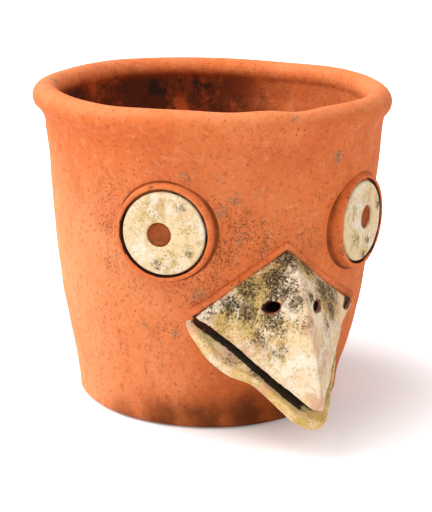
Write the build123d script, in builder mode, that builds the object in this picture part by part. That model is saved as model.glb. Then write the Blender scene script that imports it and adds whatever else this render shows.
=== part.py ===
from build123d import *
from math import cos, hypot, radians, sin
import os

# Bird-shaped planter, built by hand from clay: a flared round pot with a rolled rim, two ringed
# eyes with plug pupils, and an open beak of two slabs.
# Millimetres and degrees. The pot stands on Z = 0 round the Z axis and the beak points to -Y.
# Left and right are the bird's own, so its right side is at -X.

# Pot
pot_height = 214.0
rim_radius = 120.0
rim_roll_radius = 8.6
rim_seat_depth = 2.4
foot_radius = 91.0
foot_rounding = 5.5
floor_thickness = 10.0
wall_thickness = 9.0
drain_radius = 9.0
# Outside of the wall from its foot to its top: share of its height, share of its flare
wall_flare = [(0.0, 0.0), (0.21, 0.29), (0.37, 0.51), (0.64, 0.66), (0.84, 0.8), (1.0, 1.0)]

# Eyes
eye_ring_radius = 30.8
eye_disc_radius = 26.0
eye_groove = 0.8
eye_ring_rounding = 2.4
eye_ring_lip = 0.8
eye_disc_rounding = 1.2
eye_stand_off = 6.5
eye_root_depth = 14.0
pupil_radius = 7.6
pupil_recess = 1.5
pupil_rounding = 0.8
right_eye_turn = -40.5
right_eye_height = 136.8
right_pupil_shift = (-3.0, -1.0)
left_eye_turn = 32.5
left_eye_height = 133.0
left_pupil_shift = (6.2, 1.4)

# Beak: the mouth plane runs down and forward from the wall to the tip of the upper beak
beak_tip_reach = 151.2
beak_tip_height = 33.2
mouth_slope = 37.0
mouth_lean = 3.0
# Crest of the upper beak: distance back from the tip, height above the mouth plane
crest_line = [
    (-0.5, 5.0),
    (2.5, 12.5),
    (11.0, 22.5),
    (31.0, 37.5),
    (47.0, 49.0),
    (66.0, 49.5),
    (84.0, 46.0),
    (104.0, 42.0),
]
crest_shift = -4.5
crest_rounding = 5.0
beak_tip_half_width = 3.2
beak_spread_right = 0.66
beak_spread_left = 0.72
mouth_length = 80.0
slab_thickness = 6.0
hollow_start = 14.0
nostril_length = 13.5
nostril_height = 6.8
nostril_back = 56.0
nostril_side = 13.0
nostril_turn = 8.0
nostril_reach = 11.0

# Lower beak: a dished slab under the mouth plane, with a wide lobe on the right
mouth_gap = 4.6
lower_thickness = 5.8
lower_lip_width = 6.5
lower_dish_depth = 2.6
lower_edge_rounding = 2.0
# Corners of its outline, from the wall round the tip: distance to the left, distance back from the
# upper tip, and how far the corner is rounded
lower_corners = [
    (-58.5, 66.0, 12.0),
    (-50.5, 41.0, 14.0),
    (-27.5, 30.5, 18.0),
    (-9.5, -8.5, 8.0),
    (4.0, -9.0, 5.0),
    (50.0, 68.0, 10.0),
]
lower_root_back = 96.0

# Coil of clay that seals the beak's upper edge
seam_width = 1.8
seam_thickness = 2.4

# Sizes that follow from these
rim_centre_radius = rim_radius - rim_roll_radius
rim_centre_height = pot_height - rim_roll_radius
wall_top = rim_centre_height - rim_roll_radius + rim_seat_depth
wall_top_radius = rim_centre_radius + wall_thickness / 2
wall_height = wall_top - floor_thickness


def wall_radius(height):
    """Outside radius of the wall at a height above the ground."""
    share = (height - floor_thickness) / wall_height
    for (low, narrow), (high, wide) in zip(wall_flare, wall_flare[1:]):
        if share <= high:
            break
    flare = narrow + (wide - narrow) * (share - low) / (high - low)
    return foot_radius + (wall_top_radius - foot_radius) * flare


def wall_points(outward):
    """Points of the wall's outline, moved outward from its outside."""
    heights = [floor_thickness + share * wall_height for share, _ in wall_flare]
    return [(wall_radius(height) + outward, height) for height in heights]


def pot_core(outward):
    """Solid inside the wall's outline, which trims what is pressed onto the wall."""
    with BuildPart() as core:
        with BuildSketch(Plane.XZ):
            with BuildLine():
                side = Spline(wall_points(outward))
                Polyline(side @ 1, (0, wall_top), (0, floor_thickness), side @ 0)
            make_face()
        revolve(axis=Axis.Z)
    return core.part


pot_outside = pot_core(0)
pieces = []


def finish(piece, name):
    """Name a finished piece and keep it for the export."""
    piece.label = name
    pieces.append(piece)


# Floor slab, with its lower edge rounded by hand and the drain hole through its middle
with BuildPart() as pot_floor:
    with BuildSketch():
        Circle(foot_radius)
        Circle(drain_radius, mode=Mode.SUBTRACT)
    extrude(amount=floor_thickness)
    under_edges = pot_floor.edges().filter_by(GeomType.CIRCLE).group_by(Axis.Z)[0]
    fillet(under_edges.sort_by(SortBy.RADIUS)[-1], foot_rounding)
finish(pot_floor.part, "pot_floor")

# Wall, which stands on the floor slab and flares to the rim
with BuildPart() as pot_wall:
    with BuildSketch(Plane.XZ):
        with BuildLine():
            outside = Spline(wall_points(0))
            inside = Spline(wall_points(-wall_thickness))
            Line(outside @ 0, inside @ 0)
            Line(outside @ 1, inside @ 1)
        make_face()
    revolve(axis=Axis.Z)
finish(pot_wall.part, "pot_wall")

# Rim, a thick coil pressed flat onto the top of the wall
with BuildPart() as rim_coil:
    with BuildSketch(Plane.XZ):
        with Locations((rim_centre_radius, rim_centre_height)):
            Circle(rim_roll_radius)
        with Locations((rim_centre_radius, wall_top)):
            below = (Align.CENTER, Align.MAX)
            Rectangle(4 * rim_roll_radius, 2 * rim_roll_radius, align=below, mode=Mode.SUBTRACT)
    revolve(axis=Axis.Z)
finish(rim_coil.part, "rim_coil")


def eye_plane(turn, height, depth):
    """Plane that faces out of the wall at an eye, a depth behind the eye's face."""
    out = Vector(sin(radians(turn)), -cos(radians(turn)), 0)
    across = Vector(cos(radians(turn)), sin(radians(turn)), 0)
    reach = wall_radius(height) + eye_stand_off - depth
    return Plane(origin=out * reach + Vector(0, 0, height), x_dir=across, z_dir=out)


def front_edges(part, plane):
    """Round edges of an eye piece that lie on its face."""
    circles = part.edges().filter_by(GeomType.CIRCLE)
    return circles.sort_by(lambda edge: plane.to_local_coords(edge.arc_center).Z).group_by(
        lambda edge: round(plane.to_local_coords(edge.arc_center).Z, 3)
    )[-1].sort_by(SortBy.RADIUS)


# Eyes: a collar round a disc of pale clay, and a plug set back in the disc
eyes = [
    ("right", right_eye_turn, right_eye_height, right_pupil_shift),
    ("left", left_eye_turn, left_eye_height, left_pupil_shift),
]
for side, turn, height, pupil_shift in eyes:
    face = eye_plane(turn, height, 0)
    plug_face = eye_plane(turn, height, pupil_recess)

    with BuildPart() as eye_ring:
        with BuildSketch(face):
            Circle(eye_ring_radius)
            Circle(eye_disc_radius + eye_groove, mode=Mode.SUBTRACT)
        extrude(amount=-(eye_stand_off + eye_root_depth))
        fillet(front_edges(eye_ring, face)[-1], eye_ring_rounding)
        fillet(front_edges(eye_ring, face)[0], eye_ring_lip)
        add(pot_outside, mode=Mode.SUBTRACT)
    finish(eye_ring.part, f"eye_ring_{side}")

    with BuildPart() as eye_disc:
        with BuildSketch(face):
            Circle(eye_disc_radius)
            with Locations(pupil_shift):
                Circle(pupil_radius, mode=Mode.SUBTRACT)
        extrude(amount=-(eye_stand_off + eye_root_depth))
        fillet(front_edges(eye_disc, face)[-1], eye_disc_rounding)
        add(pot_outside, mode=Mode.SUBTRACT)
    finish(eye_disc.part, f"eye_disc_{side}")

    with BuildPart() as pupil:
        with BuildSketch(plug_face):
            with Locations(pupil_shift):
                Circle(pupil_radius)
        extrude(amount=-(eye_stand_off + eye_root_depth))
        fillet(front_edges(pupil, face)[-1], pupil_rounding)
        add(pot_outside, mode=Mode.SUBTRACT)
    finish(pupil.part, f"pupil_{side}")


beak_tip = Vector(0, -beak_tip_reach, beak_tip_height)
beak_forward = Vector(0, -cos(radians(mouth_slope)), -sin(radians(mouth_slope)))
beak_across = Vector(cos(radians(mouth_lean)), 0, -sin(radians(mouth_lean)))


def beak_plane(back):
    """Plane square to the mouth, a distance back from the tip, with its Y up from the mouth."""
    return Plane(origin=beak_tip - beak_forward * back, x_dir=beak_across, z_dir=beak_forward)


def mouth_plane(drop):
    """Plane along the mouth, a distance below it, with its Y back from the tip."""
    up = beak_plane(0).y_dir
    return Plane(origin=beak_tip - up * drop, x_dir=beak_plane(0).x_dir, z_dir=up)


def crest_height(back):
    """Height of the crest above the mouth, a distance back from the tip."""
    for (near, low), (far, high) in zip(crest_line, crest_line[1:]):
        if back <= far:
            break
    return low + (high - low) * (back - near) / (far - near)


def half_widths(back):
    """Right and left half widths of the upper beak along the mouth, a distance back from the tip."""
    run = min(max(back, 0), mouth_length)
    return beak_tip_half_width + beak_spread_right * run, beak_tip_half_width + beak_spread_left * run


def beak_section(back, outward):
    """Cross-section of the folded slab's outside, moved outward from its faces."""
    height = crest_height(back)
    right, left = half_widths(back)
    half_width = (right + left) / 2
    slope_length = hypot(half_width, height)
    widening = outward * slope_length / height
    rounding = min(crest_rounding, half_width / 2)
    top = height + (outward + rounding) * slope_length / half_width - rounding
    shift = crest_shift * half_width / (half_width - crest_shift)
    with BuildSketch(beak_plane(back)) as section:
        with BuildLine():
            Polyline((-right - widening, 0), (shift, top), (left + widening, 0), close=True)
        make_face()
        fillet(section.vertices().sort_by(Axis.Y)[-1], rounding)
    return section.sketch


crest_backs = [back for back, _ in crest_line]
hollow_backs = [hollow_start] + [back for back in crest_backs if back > hollow_start]


def nostril_plane(side):
    """Plane on a face of the upper beak at its nostril; side is -1 for the right one."""

    def face_point(back, share):
        edge = side * half_widths(back)[0 if side < 0 else 1]
        across = crest_shift + (edge - crest_shift) * share
        return beak_plane(back).from_local_coords((across, crest_height(back) * (1 - share), 0))

    edge_here = side * half_widths(nostril_back)[0 if side < 0 else 1]
    share_here = nostril_side / abs(edge_here - crest_shift)
    centre = face_point(nostril_back, share_here)
    along = face_point(nostril_back, 0) - face_point(nostril_back, 1)
    behind = face_point(nostril_back + nostril_height, share_here) - centre
    outward = along.cross(behind) if side < 0 else behind.cross(along)
    return Plane(origin=centre, x_dir=along, z_dir=outward).rotated((0, 0, side * nostril_turn))


# Upper beak, a slab folded over an open hollow, with a slit nostril through each face
with BuildPart() as beak_upper:
    loft([beak_section(back, 0) for back in crest_backs])
    loft([beak_section(back, -slab_thickness) for back in hollow_backs], mode=Mode.SUBTRACT)
    for side in (-1, 1):
        with BuildSketch(nostril_plane(side)):
            SlotOverall(nostril_length, nostril_height)
        extrude(amount=nostril_reach, both=True, mode=Mode.SUBTRACT)
    add(pot_outside, mode=Mode.SUBTRACT)
finish(beak_upper.part, "beak_upper")

# Lower beak, a slab with a raised lip round its dish
with BuildPart() as beak_lower:
    with BuildSketch(mouth_plane(mouth_gap)) as lower_face:
        corners = [(across, back) for across, back, _ in lower_corners]
        right_root = (corners[0][0], lower_root_back)
        left_root = (corners[-1][0], lower_root_back)
        with BuildLine():
            Polyline([right_root] + corners + [left_root], close=True)
        make_face()
        for across, back, rounding in lower_corners:
            corner = lower_face.vertices().sort_by_distance((across, back))[0]
            fillet(corner, rounding)
    extrude(amount=-lower_thickness)
    fillet(beak_lower.faces().filter_by(mouth_plane(mouth_gap)).edges(), lower_edge_rounding)
    with BuildSketch(mouth_plane(mouth_gap)):
        add(lower_face.sketch_local)
        offset(amount=-lower_lip_width, mode=Mode.REPLACE)
    extrude(amount=-lower_dish_depth, mode=Mode.SUBTRACT)
    add(pot_outside, mode=Mode.SUBTRACT)
finish(beak_lower.part, "beak_lower")

# Seam, a thin strip of clay along the beak's upper edges
with BuildPart() as beak_seam:
    loft([beak_section(back, seam_width) for back in crest_backs])
    add(pot_core(seam_thickness), mode=Mode.INTERSECT)
    add(pot_outside, mode=Mode.SUBTRACT)
    loft([beak_section(back, 0) for back in crest_backs], mode=Mode.SUBTRACT)
finish(beak_seam.part, "beak_seam")

os.makedirs("parts", exist_ok=True)
for piece in pieces:
    export_step(piece, f"parts/{piece.label}.step")
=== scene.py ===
import math

import bmesh
import bpy
from mathutils import Matrix, Vector, noise


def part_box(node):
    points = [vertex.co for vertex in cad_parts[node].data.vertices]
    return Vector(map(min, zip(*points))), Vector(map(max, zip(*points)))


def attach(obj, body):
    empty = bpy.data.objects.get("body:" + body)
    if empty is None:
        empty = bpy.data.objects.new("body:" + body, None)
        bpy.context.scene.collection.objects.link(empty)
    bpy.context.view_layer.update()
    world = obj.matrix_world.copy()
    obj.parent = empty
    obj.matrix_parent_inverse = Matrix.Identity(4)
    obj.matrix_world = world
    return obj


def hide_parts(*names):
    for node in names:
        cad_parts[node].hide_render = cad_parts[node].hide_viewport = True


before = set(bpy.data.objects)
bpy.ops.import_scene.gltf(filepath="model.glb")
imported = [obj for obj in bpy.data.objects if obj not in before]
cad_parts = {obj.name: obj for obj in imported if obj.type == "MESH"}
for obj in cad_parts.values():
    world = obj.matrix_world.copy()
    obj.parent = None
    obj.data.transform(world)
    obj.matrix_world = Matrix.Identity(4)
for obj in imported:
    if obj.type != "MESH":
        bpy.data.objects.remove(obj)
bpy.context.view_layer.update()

# Pot floor: a round slab of red clay with its lower edge pressed round by hand. The drain hole was cut
# through its middle while the clay was soft.
mm = 0.001
floor_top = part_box("pot_floor")[1].z
foot_top = 7.6 * mm
foot_lift = 4.6 * mm
foot_tuck = 5.5 * mm
drain_radius = 9 * mm
drain_edge = 1.2 * mm
clay_thickness = 9 * mm
soil_radius = 82 * mm
camera_turn = -26.0
# Outside of the pot: height, radius on the bird's right, radius on its left as the camera sees them
pot_outline = [
    (10, 91.2, 89.4), (22, 92.7, 91.9), (34, 94.8, 95.6), (56, 98.4, 100.9), (78, 101.9, 104.6),
    (100, 104.7, 107.4), (121, 106.4, 109.0), (142, 108.0, 110.6), (162, 109.6, 112.2),
    (184, 111.4, 113.9), (200, 113.0, 115.6),
]
steps_round = 288
# Swells that pressing leaves in the wall: height, waves in 100 mm, shift
wall_swells = [(0.9, 2.1, 0), (0.35, 6.3, 7)]


def smooth_line(points, at):
    """Values beside a key, read off a smooth line through points of (key, value, value ...)."""
    at = min(max(at, points[0][0]), points[-1][0])
    last = len(points) - 1
    low = max(i for i in range(last) if points[i][0] <= at)
    before, start, end, after = (points[min(max(low + i, 0), last)] for i in (-1, 0, 1, 2))
    span = end[0] - start[0]
    share = (at - start[0]) / span
    values = []
    for k in range(1, len(start)):
        rise_in = (end[k] - before[k]) / (end[0] - before[0]) * span
        rise_out = (after[k] - start[k]) / (after[0] - start[0]) * span
        values.append(
            start[k] * (1 + 2 * share) * (1 - share) ** 2
            + rise_in * share * (1 - share) ** 2
            + end[k] * share**2 * (3 - 2 * share)
            + rise_out * share**2 * (share - 1)
        )
    return values[0] if len(values) == 1 else values


def round_pot(turn, radius, height):
    """Point round the pot: turn in degrees from the beak towards the bird's left."""
    angle = math.radians(turn)
    return Vector((math.sin(angle) * radius, -math.cos(angle) * radius, height))


def turn_of(at):
    """Turn round the pot of a point."""
    return math.degrees(math.atan2(at.x, -at.y))


def toward_right_of_view(turn):
    """0 where the pot's side faces the left of the photograph, 1 where it faces the right."""
    return (1 + math.cos(math.radians(turn - camera_turn - 90))) / 2


def pot_radius(turn, height):
    """Outside radius of the hand-built wall, with the slow swells that pressing leaves."""
    left, right = smooth_line(pot_outline, height / mm)
    radius = left + (right - left) * toward_right_of_view(turn)
    place = round_pot(turn, 1, height / mm / 100)
    swells = [noise.noise(place * waves + Vector((shift, 0, 0))) * tall for tall, waves, shift in wall_swells]
    return (radius + sum(swells)) * mm


def put_in_scene(name, data):
    """New object that holds a mesh, a curve, a lamp or a camera."""
    thing = bpy.data.objects.new(name, data)
    bpy.context.scene.collection.objects.link(thing)
    return thing


def loops_mesh(name, loops, joined=False):
    """Skin over rings of points, one face between neighbours; joined closes the last ring on the first."""
    mesh = bpy.data.meshes.new(name)
    build = bmesh.new()
    rings = [[build.verts.new(point) for point in loop] for loop in loops]
    for lower, upper in zip(rings, rings[1:] + rings[:1] if joined else rings[1:]):
        count = len(lower)
        for i in range(count):
            j = (i + 1) % count
            build.faces.new((lower[i], lower[j], upper[j], upper[i]))
    if not joined:
        build.faces.new(rings[0])
        build.faces.new(rings[-1])
    bmesh.ops.recalc_face_normals(build, faces=build.faces)
    build.to_mesh(mesh)
    build.free()
    mesh.shade_smooth()
    return put_in_scene(name, mesh)


def turned_loops(sections):
    """Rings round the pot from a function that gives (radius, height) pairs for a turn."""
    turns = [360 * i / steps_round for i in range(steps_round)]
    columns = [[round_pot(turn, *pair) for pair in sections(turn)] for turn in turns]
    return [list(ring) for ring in zip(*columns)]


def soak(piece, mark, places):
    """Write how strongly each point of a piece carries a mark: places of (centre, radius, strength)."""
    layer = piece.data.attributes.new(mark, "FLOAT", "POINT")
    for vertex, value in zip(piece.data.vertices, layer.data):
        amount = 0
        for centre, radius, strength in places:
            near = (vertex.co - centre).length / radius
            if near < 1:
                amount = max(amount, strength * (1 - near * near) ** 2)
        value.value = amount


def paint(piece, mark, rule):
    """Write a mark on each point of a piece from a rule on its place."""
    layer = piece.data.attributes.new(mark, "FLOAT", "POINT")
    for vertex, value in zip(piece.data.vertices, layer.data):
        value.value = rule(vertex.co)


class Finish:
    """Material under construction: each step mixes one more layer of colour or relief."""

    shine = 0.25

    def __init__(self, name):
        self.material = bpy.data.materials.new(name)
        self.material.use_nodes = True
        self.nodes = self.material.node_tree.nodes
        self.links = self.material.node_tree.links
        self.shader = self.nodes["Principled BSDF"]
        self.place = self.nodes.new("ShaderNodeTexCoord").outputs["Object"]
        self.colour = None
        self.relief = None

    def put(self, socket, value):
        if isinstance(value, bpy.types.NodeSocket):
            self.links.new(value, socket)
        else:
            socket.default_value = value

    def node(self, kind, **inputs):
        """Add a node and fill its inputs; a name's _ stands for a space."""
        step = self.nodes.new(kind)
        for label, value in inputs.items():
            self.put(step.inputs[label.replace("_", " ")], value)
        return step

    def grain(self, size, detail=4.0, rough=0.6, stretch=(1, 1, 1), offset=(0, 0, 0)):
        """Cloudy pattern whose patches are about size millimetres across."""
        scale = [share / (size * mm) for share in stretch]
        shifted = self.node("ShaderNodeMapping", Vector=self.place, Location=offset, Scale=scale).outputs[0]
        cloud = self.node("ShaderNodeTexNoise", Vector=shifted, Scale=1.0, Detail=detail, Roughness=rough)
        return cloud.outputs["Fac"]

    def patches(self, size, low, high, **kind):
        """Patches of a grain: 0 where it is weaker than low, 1 where it is stronger than high."""
        return self.ramp(self.grain(size, **kind), low, high)

    def specks(self, size, reach):
        """Scattered dots: 1 inside a dot, 0 between them; reach is the dot's share of its cell."""
        cells = self.node("ShaderNodeTexVoronoi", Vector=self.place, Scale=1 / (size * mm))
        return self.ramp(cells.outputs["Distance"], reach, reach * 0.45)

    def mark(self, name):
        attribute = self.nodes.new("ShaderNodeAttribute")
        attribute.attribute_name = name
        return attribute.outputs["Fac"]

    def reckon(self, kind, first, second):
        """Sum, product or difference of two values."""
        step = self.nodes.new("ShaderNodeMath")
        step.operation = kind
        self.put(step.inputs[0], first)
        self.put(step.inputs[1], second)
        return step.outputs[0]

    def times(self, first, second):
        return self.reckon("MULTIPLY", first, second)

    def plus(self, first, second):
        return self.reckon("ADD", first, second)

    def ramp(self, value, low, high):
        """0 at low, 1 at high, eased between."""
        ends = {"From_Min": min(low, high), "From_Max": max(low, high)}
        start = float(low > high)
        step = self.node("ShaderNodeMapRange", Value=value, To_Min=start, To_Max=1 - start, **ends)
        step.interpolation_type = "SMOOTHSTEP"
        return step.outputs["Result"]

    def washed(self, name, size):
        """A painted mark that fades softly, as a stain soaked into clay does."""
        cloud = self.patches(size, 0.3, 0.65, detail=5.0)
        return self.times(self.mark(name), self.plus(0.6, self.times(cloud, 0.4)))

    def ragged(self, name, size, cover, soft):
        """A painted mark broken up by grain, as growth on clay is; cover is the share that it fills."""
        own_shift = (cover * 9, soft * 7, 3)
        cloud = self.patches(size, 0.32, 0.68, detail=6.0, rough=0.65, offset=own_shift)
        reach = self.plus(cloud, self.times(self.mark(name), cover))
        gate = self.ramp(self.mark(name), 0.0, 0.1)
        return self.times(self.ramp(reach, 1 - soft, 1 + soft), gate)

    def coat(self, colour, amount=1.0, strength=1.0):
        """Lay a colour over what is there, as strongly as amount says."""
        if self.colour is None:
            self.colour = self.nodes.new("ShaderNodeRGB").outputs[0]
            self.colour.default_value = (*linear(colour), 1)
            return
        if strength != 1.0:
            amount = self.times(amount, strength)
        mix = self.nodes.new("ShaderNodeMix")
        mix.data_type = "RGBA"
        self.put(mix.inputs["Factor"], amount)
        self.links.new(self.colour, mix.inputs["A"])
        mix.inputs["B"].default_value = (*linear(colour), 1)
        self.colour = mix.outputs["Result"]

    def raise_by(self, value, height):
        """Add relief: a value of 1 stands height millimetres proud."""
        step = self.node("ShaderNodeBump", Height=value, Distance=height * mm, Strength=1.0)
        if self.relief is not None:
            self.links.new(self.relief, step.inputs["Normal"])
        self.relief = step.outputs["Normal"]

    def fired(self, roughness):
        """Finish the material: a matt fired surface."""
        self.links.new(self.colour, self.shader.inputs["Base Color"])
        if self.relief is not None:
            self.links.new(self.relief, self.shader.inputs["Normal"])
        self.shader.inputs["Roughness"].default_value = roughness
        self.shader.inputs["Specular IOR Level"].default_value = self.shine
        return self.material


def linear(colour):
    """Linear values of a colour written as an #RRGGBB word."""
    parts = [int(colour[i : i + 2], 16) / 255 for i in (1, 3, 5)]
    return [p / 12.92 if p <= 0.04045 else ((p + 0.055) / 1.055) ** 2.4 for p in parts]


def red_clay(name):
    """Unglazed red earthenware: patchy body, dark grog specks, rain streaks, mould and an old stain, with
    painted light and shade laid in: a painted highlight on the side facing the lamp and on the rim's crest,
    painted shade under the beak and at the eyes, and painted shade with the damp inside.
    """
    clay = Finish(name)
    clay.coat("#DF7238")
    clay.coat("#E8844A", clay.patches(90, 0.42, 0.66, detail=3), 0.7)
    clay.coat("#D0622E", clay.patches(55, 0.5, 0.72, offset=(3, 1, 0)), 0.6)
    clay.coat("#E98C5A", clay.patches(12, 0.52, 0.7, detail=5, offset=(9, 4, 0)), 0.35)
    # Painted highlight on the side that faces the lamp.
    clay.coat("#F2AC76", clay.washed("painted_light", 30), 0.75)
    clay.coat("#C4521F", clay.washed("flush", 30), 0.6)
    clay.coat("#C9683B", clay.patches(5, 0.54, 0.7, detail=4, stretch=(1, 1, 0.3)), 0.55)
    clay.coat("#A84A20", clay.patches(3, 0.53, 0.64, detail=6, rough=0.78, offset=(4, 4, 4)), 0.55)
    clay.coat("#F0A070", clay.patches(5, 0.52, 0.7, detail=5, rough=0.7, offset=(8, 1, 4)), 0.4)
    grog = clay.specks(4.2, 0.2)
    clay.coat("#9A4A28", clay.times(grog, clay.patches(30, 0.42, 0.62, offset=(1, 8, 2))), 0.85)
    clay.coat("#7A3A22", clay.times(clay.specks(2.1, 0.24), clay.patches(20, 0.5, 0.66)), 0.6)
    # The old stain round the foot; the same mark also paints shade at the foot of each eye collar and round
    # the gap at the mouth's corner, and darkens the pupils evenly.
    clay.coat("#963F00", clay.washed("stain_and_shade", 30))
    clay.coat("#4E2600", clay.ramp(clay.washed("stain_and_shade", 16), 0.2, 1.0), 0.8)
    clay.coat("#AC5C2C", clay.ragged("mould", 8, 0.7, 0.45), 0.32)
    clay.coat("#5E381E", clay.ragged("mould", 1.4, 0.44, 0.12), 0.75)
    clay.coat("#8C8468", clay.ragged("lichen", 3.5, 0.85, 0.35), 0.6)
    clay.coat("#4E4A40", clay.ragged("lichen", 1.5, 0.5, 0.15), 0.65)
    # Wear on the rim's crest, with a painted highlight laid in the same layer.
    clay.coat("#F2A070", clay.ragged("wear_and_highlight", 30, 1.1, 0.8), 0.25)
    # Painted shade: near black where the beak's slot and fold and the gaps round the eyes lie in shade.
    clay.coat("#24110A", clay.ragged("painted_shade", 6, 1.3, 0.4), 0.95)
    # Damp soil darkens the inside; the same mark carries painted shade on the side whose inside faces away
    # from the lamp.
    damp_and_shade = clay.mark("damp_and_shade")
    clay.coat("#C05010", clay.ramp(damp_and_shade, 0.1, 0.8), 0.8)
    clay.coat("#8A3000", clay.times(clay.patches(40, 0.4, 0.62, detail=6, offset=(5, 5, 1)), damp_and_shade), 0.85)
    clay.coat("#4C1A00", clay.times(clay.patches(30, 0.35, 0.54, detail=8, rough=0.72), damp_and_shade), 0.95)
    rot = clay.patches(20, 0.53, 0.62, detail=8, rough=0.75, offset=(2, 7, 4))
    clay.coat("#200C02", clay.times(rot, damp_and_shade), 0.9)
    clay.raise_by(clay.grain(20, detail=3), 1.2)
    clay.raise_by(clay.grain(4, detail=5, stretch=(1, 1, 0.5)), 0.6)
    clay.raise_by(clay.reckon("SUBTRACT", 1.0, grog), 0.35)
    clay.raise_by(clay.grain(0.9, detail=3), 0.25)
    return clay.fired(0.82)


def hand_on(piece, node):
    """Give a finished piece to the part in place of its plain solid."""
    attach(piece, "root")
    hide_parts(node)


def soft_edges(piece, degrees=50):
    """Keep the hidden caps from bending the shading of the clay beside them."""
    piece.data.set_sharp_from_angle(angle=math.radians(degrees))


def foot_section(turn):
    """Outline of the floor slab at a turn: drain hole, top, side, rounded foot and underside."""
    wall = pot_radius(turn, floor_top)
    quarter = [math.radians(step * 15) for step in range(7)]
    return (
        [(drain_radius, drain_edge), (drain_radius, floor_top - 1 * mm), (drain_radius + 1 * mm, floor_top)]
        + [(wall * share, floor_top) for share in (0.3, 0.5, 0.7, 0.85)]
        + [(wall - 0.2 * mm, floor_top), (wall, floor_top), (wall - 0.1 * mm, foot_top)]
        + [(wall - foot_tuck * (1 - math.cos(a)) - 0.3 * mm, foot_lift * (1 - math.sin(a))) for a in quarter]
        + [(wall * share, 0.0) for share in (0.85, 0.6, 0.35)]
        + [(drain_radius + drain_edge, 0.0)]
    )


def pot_spots(*spots):
    """Places on the pot: turn, distance from its axis, height, reach and strength, lengths in mm."""
    return [
        (round_pot(turn, out * mm, up * mm), reach * mm, strength) for turn, out, up, reach, strength in spots
    ]


stain_places = pot_spots(
    (-64, 92, 0, 24, 0.8), (-46, 92, 4, 30, 0.95), (-28, 92, 6, 36, 1.0), (-10, 92, 8, 42, 1.0),
    (12, 92, 8, 46, 1.0), (-18, 93, 28, 34, 0.45), (32, 92, 10, 40, 0.8), (120, 91, 8, 60, 0.5),
    (200, 91, 0, 50, 0.6),
)
flush_places = pot_spots(
    (-38, 112, 176, 42, 0.8), (-10, 112, 172, 40, 0.45), (-30, 97, 50, 40, 0.35),
    (170, 110, 120, 70, 0.7),
)


def unit(value):
    """A value kept between 0 and 1."""
    return min(max(value, 0), 1)


def painted_light(at):
    """Painted highlight: paler clay on the side that faces the lamp, fading below the rim."""
    facing = (1 - toward_right_of_view(turn_of(at) + 6)) ** 2.2
    return facing * unit((186 * mm - at.z) / (60 * mm))


pot_clay = red_clay("red_clay_pot")
pot_floor = loops_mesh("pot_floor_piece", turned_loops(foot_section), joined=True)
pot_floor.data.materials.append(pot_clay)
paint(pot_floor, "damp_and_shade", lambda at: 1.0 if at.z > floor_top - 1.5 * mm and at.xy.length < soil_radius else 0.0)
soak(pot_floor, "stain_and_shade", stain_places)
paint(pot_floor, "painted_light", painted_light)
soft_edges(pot_floor)
hand_on(pot_floor, "pot_floor")

# Pot wall: clay pressed up from the floor into a flared wall, smoothed with wet fingers outside and left
# rougher inside, where damp soil has turned it dark and painted shade darkens it more on the bird's right,
# whose inside faces away from the lamp.
wall_top = 184 * mm
wall_rows = 96
inner_rows = 60


def wall_section(turn):
    rows = [floor_top + (wall_top - floor_top) * i / wall_rows for i in range(wall_rows + 1)]
    outside = [(pot_radius(turn, height), height) for height in rows]
    inner = [floor_top + (wall_top - floor_top) * (1 - i / inner_rows) for i in range(inner_rows + 1)]
    inside = [(inner_radius(turn, height), height) for height in inner]
    return outside + inside


def inner_radius(turn, height):
    """Inside of the wall: thumb dents, and clay smeared into the corner with the floor."""
    place = round_pot(turn, 1, height / mm / 100)
    dents = noise.noise(place * 5 + Vector((0, 3, 9))) * 1.0 + noise.noise(place * 12) * 0.4
    corner = max(0, 1 - (height - floor_top) / (9 * mm))
    return pot_radius(turn, height) - clay_thickness + dents * mm - corner**2 * 7 * mm


mould_places = pot_spots(
    (-61, 110, 160, 20, 0.45), (-62.5, 109, 137, 17, 0.6), (-61.5, 108, 112, 18, 0.5),
    (-20, 111, 152, 16, 0.55), (-15, 110, 138, 22, 0.75), (-8, 109, 128, 22, 0.75),
    (-22, 109, 124, 20, 0.85), (-26, 108, 108, 18, 0.7), (-31, 107, 92, 13, 0.8),
    (8, 110, 126, 22, 0.45), (-40, 105, 72, 16, 0.5), (-44, 103, 56, 22, 0.35),
    (-52, 107, 100, 20, 0.35), (-33, 107, 100, 24, 0.4), (140, 105, 60, 45, 0.6),
    (205, 109, 120, 50, 0.5), (85, 109, 100, 34, 0.4),
)
lichen_places = pot_spots(
    (18, 113, 180.6, 7, 0.8), (-18.1, 112, 158, 5.5, 0.95), (-22.1, 111, 150.3, 5.5, 0.85),
    (-23.2, 112, 171, 5, 0.65), (-11.3, 112, 161, 4.5, 0.5), (-50, 103, 72.7, 4, 0.95),
    (-33.5, 112, 172, 7, 0.55), (-44.7, 112, 167, 4, 0.7), (-38, 103, 69, 4, 0.8),
    (-30, 107, 95, 8, 0.6), (-17, 110, 132, 5, 0.7), (160, 109, 110, 10, 0.8), (95, 110, 150, 8, 0.8),
    (240, 107, 80, 9, 0.8),
)
pot_wall = loops_mesh("pot_wall_piece", turned_loops(wall_section), joined=True)
pot_wall.data.materials.append(pot_clay)


def damp_and_shade_side(turn):
    """How dark the inside is at a turn: damp soil, and painted shade on the bird's right, whose inside faces
    away from the lamp; the bird's left stays drier and lighter.
    """
    return min(max(1 - (toward_right_of_view(turn) - 0.52) / 0.26, 0.05), 1)


def damp_and_shade_inside(at):
    """The dark of damp soil and painted shade on the inside of the wall; none on its outside."""
    turn = turn_of(at)
    inside = at.xy.length < pot_radius(turn, at.z) - clay_thickness * 0.5
    return damp_and_shade_side(turn) if inside else 0.0


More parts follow.
